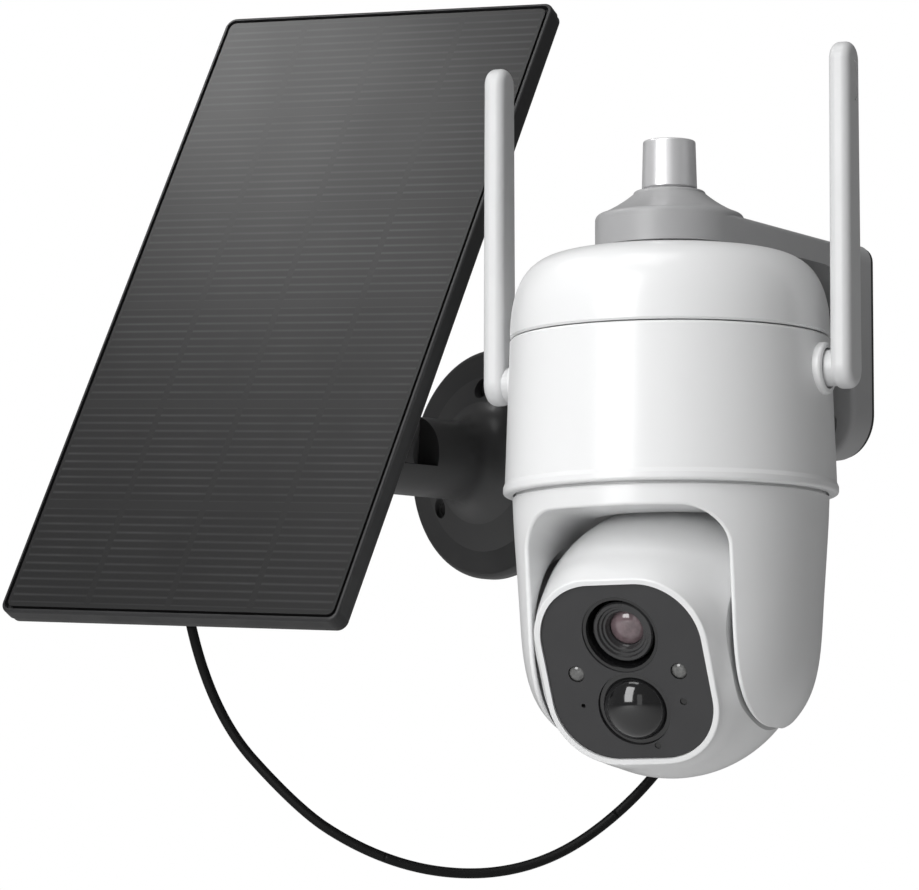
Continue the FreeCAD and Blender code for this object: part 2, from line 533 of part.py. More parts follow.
# depth is positive out of the face
put("lens_bezel", turned([(LENS_R - 0.05, -0.35), (LENS_R - 1.0, -0.35), (8.6, -5.2), (8.6, -6.4), (LENS_R - 0.05, -6.4)], zl), HEAD)
put("lens_barrel", turned([(8.4, -2.4), (8.0, -2.0), (7.2, -2.0), (6.9, -2.7), (6.3, -2.7), (6.0, -3.3), (5.4, -3.3), (5.1, -4.0), (4.7, -4.6), (4.7, -8.0), (8.4, -8.0)], zl), HEAD)
put("lens_glass", turned([(0, -8.0), (4.6, -8.0), (4.6, -5.2), (0.4, -3.72), (0, -3.72)], zl, smooth=[(2, (2.5, -4.08))]), HEAD)
put("pir_dome", turned([(0, -6.0), (PIR_R - 0.1, -6.0), (PIR_R - 0.1, -0.6), (8.9, -0.5), (8.6, 0.2), (0.5, 5.4), (0, 5.4)], zp, smooth=[(4, (5.1, 4.0))]).cut(
    turned([(0, -6.5), (7.0, -6.5), (7.0, -1.0), (0.5, 3.6), (0, 3.6)], zp, smooth=[(2, (4.3, 2.45))])), HEAD)
put("pir_sensor", turned([(0, -10.0), (4.6, -10.0), (4.6, -7.2), (4.0, -6.1), (0, -6.1)], zp).fuse(
    turned([(0, -6.1), (4.0, -6.1), (4.0, -3.4), (0, -3.4)], zp)), HEAD)
leds = [turned([(0, -3.0), (2.2, -3.0), (2.2, -0.5), (0.3, 0.25), (0, 0.25)], 0, smooth=[(2, (1.35, 0.06))]) for _ in (0, 1)]
for s, l in zip((-1, 1), leds):
    l.translate(V(s * led_x, 0, led_z))
put("spotlight_leds", Part.makeCompound(leds), HEAD)
put("light_sensor", cyl(0.9, (eye_x, FY + 0.3, eye_z), (0, 1, 0), 3.0), HEAD)
put("microphone", cyl(1.8, (mic_x, FY + 2.05, mic_z), (0, 1, 0), 1.6), HEAD)
put("status_light", cyl(0.8, (dot_x, FY + 0.25, dot_z), (0, 1, 0), 2.8), HEAD)
sb = slab(rrect(-18.0, 18.0, FACE_C - 19.0, FACE_C + 19.0, 6.0, FY + 10.2), FY + 11.8)
put("sensor_board", sb, HEAD)
put("image_sensor", box(-4.5, 4.5, FY + 8.3, FY + 10.1, zl - 4.5, zl + 4.5), HEAD)

# ---------------------------------------------------------------------------
# solar arm: flared round base, half-lap knuckle, link and tilt hinge
# ---------------------------------------------------------------------------


def about_y(pts, smooth=()):
    """Outline (r, out) turned about the arm's axis, out = distance from the wall."""
    s = revolve(pts, smooth=smooth)
    s.Placement = FreeCAD.Placement(V(0, 0, 0), FreeCAD.Rotation(X, 90))
    return s


base = about_y([(0, 1.2), (BASE_R, 1.2), (BASE_R, 3.6), (BASE_R - 1.8, 5.2), (BASE_R - 8.0, 6.0), (TUBE_R + 6.5, 8.6), (TUBE_R, 19.0), (TUBE_R, 36.0), (0, 36.0)],
               smooth=[(2, (BASE_R - 0.5, 4.7)), (5, (TUBE_R + 1.7, 12.9))])
base = base.fuse(cyl(TUBE_R, (0, -PIVOT_OUT, -TUBE_R), (0, 0, 1), TUBE_R + LAP_Z)).fuse(
    cyl(TUBE_R, (0, -30, 0), (0, -1, 0), PIVOT_OUT - 30).common(box(-30, 30, -80, 0, -30, LAP_Z)))
base = base.common(cyl(TUBE_R, (0, 0, 0), (0, -1, 0), 90).fuse(cyl(40, (0, 0, 0), (0, -1, 0), 25)))
base = base.removeSplitter()
# clearance for the link's upper half
base = base.cut(cyl(TUBE_R + 0.7, (0, -PIVOT_OUT, LAP_Z), (0, 0, 1), 40))
base = base.cut(cyl(2.55, (0, -PIVOT_OUT, -30), (0, 0, 1), 60))
base = base.cut(cyl(4.3, (0, -PIVOT_OUT, -30), (0, 0, 1), 30 - TUBE_R + 2.9))
for k in range(3):
    t = math.radians(BASE_HOLE_TURN + 120 * k)
    cx, cz = BASE_PCD / 2 * math.cos(t), BASE_PCD / 2 * math.sin(t)
    base = base.cut(cyl(BASE_HOLE_R, (cx, 5, cz), (0, -1, 0), 30))
    base = base.cut(cyl(3.0, (cx, -4.9, cz), (0, -1, 0), 14))
put("solar_base", base, BASE)
bg = cyl(BASE_R - 0.6, (0, 0, 0), (0, -1, 0), 1.2)
for k in range(3):
    t = math.radians(BASE_HOLE_TURN + 120 * k)
    bg = bg.cut(cyl(BASE_HOLE_R, (BASE_PCD / 2 * math.cos(t), 5, BASE_PCD / 2 * math.sin(t)), (0, -1, 0), 30))
put("base_gasket", bg, BASE)
# pan bolt, fixed in the base, with a round head on top of the knuckle
put("pan_bolt", cyl(2.5, (0, -PIVOT_OUT, -TUBE_R + 1.0), (0, 0, 1), 2 * TUBE_R - 2.2).fuse(
    cyl(4.2, (0, -PIVOT_OUT, -TUBE_R + 1.0), (0, 0, 1), 1.8)).fuse(cyl(4.2, (0, -PIVOT_OUT, TUBE_R - 2.5), (0, 0, 1), 1.5)), BASE)

T = TUBE_R
# the knuckle's upper half carries on the base tube's surface at rest
knuckle = cyl(T + 0.55, (0, 0, LAP_Z + 0.12), (0, 0, 1), 2 * T)
along = cyl(T, (0, 40, 0), (0, -1, 0), 80)
along.Placement = rot(Z, -PAN_REST).multiply(along.Placement)
knuckle = knuckle.common(along)
link = knuckle.fuse(cyl(T, (0, 0, 0), (0, -1, 0), LINK - 11.0))
low = cyl(T + 0.5, (0, 0, -40), (0, 0, 1), 40 + LAP_Z + 0.12)
link = link.cut(low)
link = fillet(link, 1.2, lambda e: abs(mid(e).y + (LINK - 11.0)) < 0.02)
ear = cyl(8.6, (-5.0, -LINK, 0), (1, 0, 0), 10.0).fuse(box(-5.0, 5.0, -LINK, -LINK + 13.0, -8.6, 8.6))
ear = ear.common(cyl(T, (0, 30, 0), (0, -1, 0), 120))
link = link.fuse(ear).removeSplitter()
link = link.cut(cyl(2.56, (0, 0, -20), (0, 0, 1), 40))
link = link.cut(cyl(4.35, (0, 0, T - 2.6), (0, 0, 1), 5))
link = link.cut(cyl(3.06, (-20, -LINK, 0), (1, 0, 0), 40))
put("swivel_link", link, LINKF)

# tilt pin and bracket ride with the panel
put("tilt_bolt", cyl(3.0, (-12.2, 0, 0), (1, 0, 0), 24.4).fuse(cyl(4.6, (10.8, 0, 0), (1, 0, 0), 2.4)).fuse(
    cyl(4.6, (-13.2, 0, 0), (1, 0, 0), 2.4)), PANEL)
PB = -PANEL_A + PANEL_T       # panel's back plane
ears = []
for s in (-1, 1):
    x0 = 5.25 if s > 0 else -10.65
    q = cyl(8.6, (x0, 0, 0), (1, 0, 0), 5.4).fuse(box(x0, x0 + 5.4, PB + 2.0, 0, -8.6, 8.6))
    ears.append(q)
foot = slab(rrect(-24.0, 24.0, -20.0, 20.0, 7.0, PB), PB + 3.0)
foot = fillet(foot, 1.0, lambda e: abs(mid(e).y - (PB + 3.0)) < 0.01)
pb = foot.fuse(ears[0]).fuse(ears[1]).removeSplitter()
pb = pb.cut(cyl(3.02, (-20, 0, 0), (1, 0, 0), 40))
for sx in (-1, 1):
    for sz in (-1, 1):
        pb = pb.cut(cyl(1.7, (sx * 18.0, PB - 1, sz * 13.5), (0, 1, 0), 10))
put("panel_bracket", pb, PANEL)
scr = [cyl(1.6, (sx * 18.0, PB - 1.4, sz * 13.5), (0, 1, 0), 4.4).fuse(
    Part.makeSphere(3.2, V(sx * 18.0, PB + 1.7, sz * 13.5), Y, 0, 90, 360).common(box(-40, 40, PB + 3.0, PB + 6.0, -40, 40)))
    for sx in (-1, 1) for sz in (-1, 1)]
put("bracket_screws", Part.makeCompound(scr), PANEL)

# panel: frame ring, glass, cell laminate and back shell
cx, cz = PANEL_SHIFT, PANEL_B
px0, px1, pz0, pz1 = cx - PANEL_W / 2, cx + PANEL_W / 2, cz - PANEL_H / 2, cz + PANEL_H / 2
PF = -PANEL_A
FR_T = 3.9
ring = slab(rrect(px0, px1, pz0, pz1, PANEL_RC, PF + 0.0), PF + FR_T)
ring = fillet(ring, 0.8, lambda e: abs(mid(e).y - PF) < 0.01)
ring = ring.cut(slab(rrect(px0 + 1.0, px1 - 1.0, pz0 + 1.0, pz1 - 1.0, PANEL_RC - 1.0, PF - 1), PF + 2.0))
ring = ring.cut(slab(rrect(px0 + 3.0, px1 - 3.0, pz0 + 3.0, pz1 - 3.0, PANEL_RC - 1.0, PF + 1), PF + FR_T + 1))
put("panel_frame", ring, PANEL)
g = 1.9
glass = slab(rrect(px0 + g, px1 - g, pz0 + g, pz1 - g, PANEL_RC - 1.2, PF + 0.15), PF + 1.35)
put("panel_glass", glass, PANEL)
lam = slab(rrect(px0 + g, px1 - g, pz0 + g, pz1 - g, PANEL_RC - 1.2, PF + 1.35), PF + 1.98)
put("cell_laminate", lam, PANEL)
back = slab(rrect(px0 + 0.35, px1 - 0.35, pz0 + 0.35, pz1 - 0.35, PANEL_RC - 0.3, PF + FR_T), PF + PANEL_T)
back = fillet(back, 0.9, lambda e: abs(mid(e).y - (PF + PANEL_T)) < 0.01)
bin_ = slab(rrect(px0 + 3.2, px1 - 3.2, pz0 + 3.2, pz1 - 3.2, PANEL_RC - 1.0, PF + FR_T - 1), PF + PANEL_T - 1.5)
back = back.cut(bin_)
for sx in (-1, 1):
    for sz in (-1, 1):
        back = back.fuse(cyl(3.2, (sx * 18.0, PF + 2.2, sz * 13.5), (0, 1, 0), PANEL_T - 2.4))
        back = back.cut(cyl(1.6, (sx * 18.0, PF + 2.9, sz * 13.5), (0, 1, 0), 10))
put("panel_back", back, PANEL)
# junction box low on the back; its gland points back and down out of a sloping face
JX = cx - 4.8
JB_Z = pz0 + 12.5
JB_T = 5.0
jw = Part.makePolygon([V(JX - 15.0, PB, JB_Z), V(JX - 15.0, PB + 1.2, JB_Z), V(JX - 15.0, PB + JB_T, JB_Z + 4.53),
                       V(JX - 15.0, PB + JB_T, JB_Z + 23.0), V(JX - 15.0, PB, JB_Z + 23.0), V(JX - 15.0, PB, JB_Z)])
jb = Part.Face(jw).extrude(V(30.0, 0, 0))
jb = fillet(jb, 1.2, lambda e: mid(e).y > PB + 0.4)
GDIR = V(0, math.sin(math.radians(50)), -math.cos(math.radians(50)))
GROOT = V(JX, PB + 3.1, JB_Z + 2.26)
put("junction_box", jb.cut(Part.makeCylinder(2.0, 8.0, GROOT - GDIR * 3.0, GDIR)), PANEL)
gl = revolve([(0, 0.0), (2.0, 0.0), (2.0, 2.4), (3.0, 2.4), (3.0, 4.0), (2.6, 4.8), (1.95, 12.0), (0, 12.0)])
gl.Placement = FreeCAD.Placement(GROOT - GDIR * 2.0, FreeCAD.Rotation(X, -130))
put("cable_gland", gl, PANEL)

# ---------------------------------------------------------------------------
# power cable: panel gland -> charging plug, three stretches end to end
# ---------------------------------------------------------------------------


def cord(points, d, name):
    """Straight runs joined by tangent arcs, each arc 0.45 of its shorter run."""
    P = [V(*p) for p in points]
    edges, radii = [], []
    last = P[0]
    length = 0.0
    for i in range(1, len(P) - 1):
        a, b, c = P[i - 1], P[i], P[i + 1]
        u, w = (b - a), (c - b)
        la, lc = u.Length, w.Length
        u.normalize()
        w.normalize()
        turn = u.getAngle(w)
        t = 0.45 * min(la, lc)
        r = t / math.tan(turn / 2)
        radii.append(r)
        s, f = b - u * t, b + w * t
        bis = (w - u)
        bis.normalize()
        m = b + bis * (r / math.cos(turn / 2) - r)
        if (s - last).Length > 1e-6:
            edges.append(Part.LineSegment(last, s).toShape())
            length += (s - last).Length
        edges.append(Part.Arc(s, m, f).toShape())
        length += r * turn
        last = f
    edges.append(Part.LineSegment(last, P[-1]).toShape())
    length += (P[-1] - last).Length
    w = Part.Wire(edges)
    dirn = P[1] - P[0]
    dirn.normalize()
    prof = Part.Wire([Part.makeCircle(d / 2, P[0], dirn)])
    s = w.makePipeShell([prof], True, True)
    ratio = s.Volume / (math.pi * d * d / 4 * length)
    runs = [(P[i + 1] - P[i]).Length for i in range(len(P) - 1)]
    print(name, "length %.1f" % length, "radii", ["%.0f" % r for r in radii], "runs", ["%.0f" % r for r in runs], "vol ratio %.4f" % ratio)
    return s, length


def wpt(frame, x, y, z):
    p = frame.multVec(V(x, y, z))
    return (p.x, p.y, p.z)


gt, gd = GROOT + GDIR * 10.0, GDIR
gland_tip = wpt(PANEL, gt.x, gt.y, gt.z)
# right-angle plug at the back of the housing
plug_p = V(PORT_X, 44.6, PORT_Z)
plug = cyl(4.2, (PORT_X, 41.3, PORT_Z), (0, 1, 0), 8.6)
plug = plug.fuse(Part.makeSphere(4.2, V(PORT_X, 49.0, PORT_Z)))
plug = plug.fuse(Part.makeCone(3.9, 2.1, 13.0, V(PORT_X, 48.6, PORT_Z), V(0, 0, -1)))
plug = plug.fuse(cyl(1.9, (PORT_X, 37.4, PORT_Z), (0, 1, 0), 5.0))
plug = plug.removeSplitter()
put("cable_plug", plug, BODY)
plug_end = wpt(BODY, PORT_X, 48.6, PORT_Z - 13.0)
print("gland tip", ["%.2f" % v for v in gland_tip], "direction", PANEL.Rotation.multVec(GDIR))
print("plug end", ["%.2f" % v for v in plug_end])
# the whole route from the gland to the plug; it is cut in the middle of two runs
ROUTE = [gland_tip, (-118.8, -117.5, -97.3), (-99.2, -102.5, -124.2), (-88.1, -91.6, -134.4), (-76.8, -79.1, -140.7), (-65.4, -65.9, -142.4),
         (-54.9, -53.8, -139.4), (-45.6, -43.1, -132.0), (-35.6, -31.8, -118.9), (-27.8, -23.1, -103.2), (-18.52, -12.57, -69.9), plug_end]


def half(i):
    return tuple((ROUTE[i][k] + ROUTE[i + 1][k]) / 2 for k in range(3))


CUT1, CUT2 = half(3), half(7)
for nm, pts in (("cable_panel_end", ROUTE[0:4] + [CUT1]), ("cable_middle", [CUT1] + ROUTE[4:8] + [CUT2]),
                ("cable_camera_end", [CUT2] + ROUTE[8:12])):
    sol, ln = cord(pts, CORD_D, nm)
    print("   points", [tuple(round(v, 2) for v in q) for q in pts])
    put(nm, sol)
for nm, p in (("panel centre", (PANEL_SHIFT, -PANEL_A, PANEL_B)), ("U", None)):
    if p:
        print(nm, PANEL.multVec(V(*p)))
print("U", PANEL.Rotation.multVec(X), "N", PANEL.Rotation.multVec(V(0, -1, 0)), "V", PANEL.Rotation.multVec(Z))
print("link pivot", LINKF.Base, "pan axis", BASE.Rotation.multVec(Z), "tilt pivot", PANEL.Base)
print("head centre", HEAD.Base, "tilt axis", BODY.Rotation.multVec(X), "button dirs", BTN_DIR[1], BTN_DIR[-1])
print("antenna axis", BODY.Rotation.multVec(X), "antenna pivots", BODY.multVec(V(ANT_R, 0, ANT_PIVOT_Z)), BODY.multVec(V(-ANT_R, 0, ANT_PIVOT_Z)))
for n, s in NODES.items():
    print("%-18s vol %9.1f solids %d faces %d valid %s" % (n, s.Volume, len(s.Solids), len(s.Faces), s.isValid()))
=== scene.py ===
import bpy
import bmesh
import math
from mathutils import Matrix, Vector


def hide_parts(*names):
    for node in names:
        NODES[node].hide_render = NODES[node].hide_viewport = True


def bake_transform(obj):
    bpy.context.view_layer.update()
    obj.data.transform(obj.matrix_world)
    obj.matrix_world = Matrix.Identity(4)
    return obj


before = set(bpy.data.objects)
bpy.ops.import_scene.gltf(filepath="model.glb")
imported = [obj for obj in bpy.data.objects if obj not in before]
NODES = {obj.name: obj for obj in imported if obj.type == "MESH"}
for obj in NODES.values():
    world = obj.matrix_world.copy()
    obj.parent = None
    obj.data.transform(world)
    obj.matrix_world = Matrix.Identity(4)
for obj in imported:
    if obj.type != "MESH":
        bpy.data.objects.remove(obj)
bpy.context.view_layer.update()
scene = bpy.context.scene
MM = 0.001

# ---------------------------------------------------------------------------
# camera
# ---------------------------------------------------------------------------
cam_data = bpy.data.cameras.new("camera")
cam_data.sensor_width = 36.0
cam_data.lens = 200.18
cam_data.clip_start, cam_data.clip_end = 0.05, 50
cam = bpy.data.objects.new("camera", cam_data)
scene.collection.objects.link(cam)
eye, aim = Vector((0.94728, -1.03774, -0.17636)), Vector((-0.03903, -0.09849, -0.0284))
cam.location = eye
cam.rotation_euler = (aim - eye).to_track_quat("-Z", "Y").to_euler()
scene.camera = cam
scene.view_settings.view_transform = "Standard"
scene.view_settings.look = "None"

# ---------------------------------------------------------------------------
# power cable: one smooth line through the route, in three pieces end to end
# ---------------------------------------------------------------------------
ROUTE = [(-116.89, -126.35, -73.08), (-118.8, -117.5, -97.3), (-99.2, -102.5, -124.2), (-88.1, -91.6, -134.4), (-76.8, -79.1, -140.7),
         (-65.4, -65.9, -142.4), (-54.9, -53.8, -139.4), (-45.6, -43.1, -132.0), (-35.6, -31.8, -118.9), (-27.8, -23.1, -103.2),
         (-18.52, -12.57, -69.9), (-18.52, -12.57, -47.2)]
ROUTE = [Vector(p) * MM for p in ROUTE]
CORD_D = 2.8 * MM


def route_line():
    cu = bpy.data.curves.new("route", "CURVE")
    cu.dimensions = "3D"
    sp = cu.splines.new("NURBS")
    sp.points.add(len(ROUTE) - 1)
    for q, p in zip(sp.points, ROUTE):
        q.co = (*p, 1.0)
    sp.order_u = 3
    sp.use_endpoint_u = True
    sp.resolution_u = 24
    ob = bpy.data.objects.new("route", cu)
    scene.collection.objects.link(ob)
    bpy.context.view_layer.update()
    me = bpy.data.meshes.new_from_object(ob.evaluated_get(bpy.context.evaluated_depsgraph_get()))
    pts = [v.co.copy() for v in me.vertices]
    bpy.data.objects.remove(ob)
    bpy.data.curves.remove(cu)
    bpy.data.meshes.remove(me)
    return pts


LINE = route_line()


def nearest(p):
    return min(range(len(LINE)), key=lambda i: (LINE[i] - p).length)


CUT1, CUT2 = nearest((ROUTE[3] + ROUTE[4]) / 2), nearest((ROUTE[7] + ROUTE[8]) / 2)


def frames(pts):
    """A side vector at each point, carried along without twist."""
    tang = [(pts[min(i + 1, len(pts) - 1)] - pts[max(i - 1, 0)]).normalized() for i in range(len(pts))]
    n = tang[0].orthogonal().normalized()
    out = []
    for t in tang:
        n = (n - t * n.dot(t)).normalized()
        out.append((t, n.copy(), t.cross(n)))
    return out


FRAMES = frames(LINE)


def mesh_object(name, bm, smooth=True):
    me = bpy.data.meshes.new(name)
    bm.normal_update()
    bm.to_mesh(me)
    bm.free()
    if smooth:
        me.polygons.foreach_set("use_smooth", [True] * len(me.polygons))
    ob = bpy.data.objects.new(name, me)
    scene.collection.objects.link(ob)
    return ob


def tube_piece(name, i0, i1, caps, r, seg=28):
    bm = bmesh.new()
    rings = []
    for i in range(i0, i1 + 1):
        t, n, b = FRAMES[i]
        rings.append([bm.verts.new(LINE[i] + (n * math.cos(k * math.tau / seg) + b * math.sin(k * math.tau / seg)) * r) for k in range(seg)])
    for a, b in zip(rings, rings[1:]):
        for k in range(seg):
            bm.faces.new((a[k], a[(k + 1) % seg], b[(k + 1) % seg], b[k]))
    bm.faces.new(list(reversed(rings[0])))
    bm.faces.new(rings[-1])
    ob = mesh_object(name, bm)
    ob.data.polygons[len(ob.data.polygons) - 1].use_smooth = False
    ob.data.polygons[len(ob.data.polygons) - 2].use_smooth = False
    return ob


cable_pieces = []
for name, i0, i1, a, b, end in (("power_cable_panel_end", 0, CUT1, "panel", "link", "connector"),
                                ("power_cable_middle", CUT1, CUT2, "link", "mount_side", "connector"),
                                ("power_cable_camera_end", CUT2, len(LINE) - 1, "mount_side", "housing", "plug")):
    ob = tube_piece(name, i0, i1, False, CORD_D / 2)
    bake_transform(ob)
    cad = {"power_cable_panel_end": "cable_panel_end", "power_cable_middle": "cable_middle", "power_cable_camera_end": "cable_camera_end"}[name]
    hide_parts(cad)
    cable_pieces.append(ob)


# ---------------------------------------------------------------------------
# materials
# ---------------------------------------------------------------------------
class Mat:
    """Principled material with small procedural variation in colour, gloss and relief."""

    def __init__(self, name, base, rough, metallic=0.0, coat=0.0, coat_rough=0.08, ior=1.45, var=0.03, var_scale=60.0,
                 rough_var=0.06, rough_scale=120.0, bump=None, stretch=None, sheen=0.0, spec=0.5):
        self.m = bpy.data.materials.new(name)
        self.m.use_nodes = True
        self.t = self.m.node_tree
        self.n, self.l = self.t.nodes, self.t.links
        self.b = self.n["Principled BSDF"]
        b = self.b
        b.inputs["Metallic"].default_value = metallic
        b.inputs["IOR"].default_value = ior
        b.inputs["Coat Weight"].default_value = coat
        b.inputs["Coat Roughness"].default_value = coat_rough
        b.inputs["Specular IOR Level"].default_value = spec
        self.tc = self.n.new("ShaderNodeTexCoord")
        self.vec = self.tc.outputs["Object"]
        if stretch:
            mp = self.n.new("ShaderNodeMapping")
            mp.inputs["Scale"].default_value = stretch
            self.l.new(self.vec, mp.inputs["Vector"])
            self.vec = mp.outputs["Vector"]
        nz = self.noise(var_scale, 3.0)
        ramp = self.n.new("ShaderNodeValToRGB")
        e = ramp.color_ramp.elements
        lo = [max(0.0, c * (1 - var)) for c in base]
        hi = [min(1.0, c * (1 + var)) for c in base]
        e[0].position, e[1].position = 0.3, 0.7
        e[0].color, e[1].color = (*lo, 1), (*hi, 1)
        self.l.new(nz.outputs["Fac"], ramp.inputs["Fac"])
        self.color = ramp.outputs["Color"]
        self.l.new(self.color, b.inputs["Base Color"])
        nr = self.noise(rough_scale, 2.0)
        mr = self.n.new("ShaderNodeMapRange")
        mr.inputs["From Min"].default_value, mr.inputs["From Max"].default_value = 0.3, 0.7
        mr.inputs["To Min"].default_value = max(0.02, rough - rough_var)
        mr.inputs["To Max"].default_value = min(1.0, rough + rough_var)
        self.l.new(nr.outputs["Fac"], mr.inputs["Value"])
        self.l.new(mr.outputs["Result"], b.inputs["Roughness"])
        if bump:
            scale, strength, dist = bump
            nb = self.noise(scale, 4.0)
            bp = self.n.new("ShaderNodeBump")
            bp.inputs["Strength"].default_value = strength
            bp.inputs["Distance"].default_value = dist
            self.l.new(nb.outputs["Fac"], bp.inputs["Height"])
            self.l.new(bp.outputs["Normal"], b.inputs["Normal"])
            self.bump = bp

    def noise(self, scale, detail):
        nz = self.n.new("ShaderNodeTexNoise")
        nz.inputs["Scale"].default_value = scale
        nz.inputs["Detail"].default_value = detail
        self.l.new(self.vec, nz.inputs["Vector"])
        return nz

    def math(self, op, a, b=None, clamp=False):
        nd = self.n.new("ShaderNodeMath")
        nd.operation = op
        nd.use_clamp = clamp
        for i, v in enumerate((a, b)):
            if v is None:
                continue
            if isinstance(v, (int, float)):
                nd.inputs[i].default_value = v
            else:
                self.l.new(v, nd.inputs[i])
        return nd.outputs[0]

    def dot(self, vec, k):
        nd = self.n.new("ShaderNodeVectorMath")
        nd.operation = "DOT_PRODUCT"
        self.l.new(vec, nd.inputs[0])
        nd.inputs[1].default_value = k
        return nd.outputs["Value"]

    def mix(self, fac, a, b):
        nd = self.n.new("ShaderNodeMix")
        nd.data_type = "RGBA"
        self.l.new(fac, nd.inputs[0])
        for i, v in ((6, a), (7, b)):
            if isinstance(v, tuple):
                nd.inputs[i].default_value = v
            else:
                self.l.new(v, nd.inputs[i])
        return nd.outputs[2]


white = Mat("white_plastic", (0.80, 0.804, 0.807), 0.32, coat=0.25, coat_rough=0.16, var=0.008, var_scale=25, rough_var=0.02, rough_scale=40, bump=(1800, 0.012, 0.0001))
white_ant = Mat("white_antenna_plastic", (0.62, 0.624, 0.628), 0.38, coat=0.1, coat_rough=0.2, var=0.015, var_scale=40, rough_var=0.04, bump=(2200, 0.05, 0.0002))
bracket = Mat("bracket_painted_grey", (0.36, 0.36, 0.365), 0.42, coat=0.1, coat_rough=0.25, var=0.03, var_scale=50, rough_var=0.05, bump=(3200, 0.10, 0.0002))
knob = Mat("knob_satin_metal", (0.86, 0.86, 0.87), 0.30, metallic=0.6, var=0.04, var_scale=80, rough_var=0.06, bump=(900, 0.04, 0.0001), stretch=(1, 1, 0.08))
steel = Mat("steel_hardware", (0.55, 0.55, 0.56), 0.32, metallic=1.0, var=0.05, rough_var=0.08, bump=(1500, 0.05, 0.0001))
brass = Mat("brass_insert", (0.65, 0.47, 0.22), 0.3, metallic=1.0)
rubber = Mat("rubber_seal", (0.03, 0.03, 0.03), 0.75, var=0.12, bump=(1800, 0.15, 0.0003))
chassis = Mat("chassis_dark_plastic", (0.028, 0.028, 0.029), 0.55, var=0.1, bump=(2400, 0.12, 0.0002))
button = Mat("button_grey_plastic", (0.10, 0.10, 0.105), 0.45, var=0.06, bump=(2400, 0.08, 0.0002))
board = Mat("board_green", (0.02, 0.12, 0.05), 0.4, var=0.2, var_scale=400)
cellwrap = Mat("battery_wrap", (0.04, 0.14, 0.42), 0.3, var=0.05)
alu = Mat("motor_aluminium", (0.55, 0.55, 0.57), 0.38, metallic=1.0, var=0.05)
face = Mat("face_satin_grey", (0.034, 0.034, 0.0355), 0.40, coat=0.05, coat_rough=0.35, var=0.05, var_scale=90, rough_var=0.04, bump=(3000, 0.05, 0.0001))
lens_black = Mat("lens_black_gloss", (0.006, 0.006, 0.0065), 0.12, coat=0.6, coat_rough=0.03, var=0.1, rough_var=0.03)
barrel = Mat("lens_barrel_rings", (0.030, 0.030, 0.031), 0.28, coat=0.3, coat_rough=0.12, var=0.08, rough_var=0.05)
lensglass = Mat("lens_glass_coated", (0.16, 0.115, 0.125), 0.12, coat=1.0, coat_rough=0.02, var=0.25, var_scale=420, rough_var=0.03)
pir = Mat("pir_black_gloss", (0.010, 0.010, 0.0105), 0.10, coat=0.7, coat_rough=0.03, var=0.1, rough_var=0.03)
led = Mat("led_frosted_dome", (0.11, 0.11, 0.108), 0.15, coat=1.0, coat_rough=0.03, var=0.35, var_scale=900)
sensor = Mat("sensor_window_black", (0.008, 0.008, 0.008), 0.15, coat=0.5)
arm = Mat("arm_black_plastic", (0.052, 0.052, 0.053), 0.40, coat=0.2, coat_rough=0.25, var=0.06, var_scale=60, rough_var=0.06, bump=(2600, 0.10, 0.0002))
framemat = Mat("panel_frame_anodised", (0.012, 0.012, 0.0125), 0.36, coat=0.2, coat_rough=0.2, var=0.06, var_scale=40, rough_var=0.05, bump=(2600, 0.05, 0.0001))
framehi = Mat("panel_side_band", (0.020, 0.020, 0.021), 0.42, var=0.05, var_scale=40, rough_var=0.05, bump=(2600, 0.05, 0.0001))
cable = Mat("cable_black_pvc", (0.0035, 0.0035, 0.0036), 0.50, var=0.08, var_scale=200, rough_var=0.04, bump=(1400, 0.03, 0.0001), spec=0.2)

# solar face: four columns and six rows of cells with fine printed lines
U = Vector((0.9698688, 0.2351421, -0.0637386))
N = Vector((0.2380488, -0.8589857, 0.4532949))
W = Vector((-0.0518382, 0.4548095, 0.8890788))
C = Vector((-112.92502, -97.80457, 17.22387)) * MM
CELL_W, CELL_H = 109.2 / 4 * MM, 199.0 / 6 * MM
solar = Mat("solar_cell_face", (0.0075, 0.0075, 0.0078), 0.46, coat=0.30, coat_rough=0.30, var=0.06, var_scale=14, rough_var=0.03, rough_scale=30, spec=0.25)
pos = solar.tc.outputs["Object"]
u = solar.math("ADD", solar.dot(pos, U), -C.dot(U) + 2 * CELL_W)
v = solar.math("ADD", solar.dot(pos, W), -C.dot(W) + 3 * CELL_H)
fu = solar.math("MULTIPLY", solar.math("FRACT", solar.math("DIVIDE", u, CELL_W)), CELL_W)
fv = solar.math("MULTIPLY", solar.math("FRACT", solar.math("DIVIDE", v, CELL_H)), CELL_H)
# inside the cell, clear of its margins
iu = solar.math("MULTIPLY", solar.math("GREATER_THAN", fu, 1.0 * MM), solar.math("LESS_THAN", fu, CELL_W - 1.0 * MM))
iv = solar.math("MULTIPLY", solar.math("GREATER_THAN", fv, 1.35 * MM), solar.math("LESS_THAN", fv, CELL_H - 1.35 * MM))
inside = solar.math("MULTIPLY", iu, iv)
PITCH = 2.55 * MM
lw = solar.math("ABSOLUTE", solar.math("SUBTRACT", solar.math("FRACT", solar.math("DIVIDE", fv, PITCH)), 0.5))
line = solar.math("SUBTRACT", 1.0, solar.math("MULTIPLY", lw, 4.6), clamp=True)
lines = solar.math("MULTIPLY", line, inside)
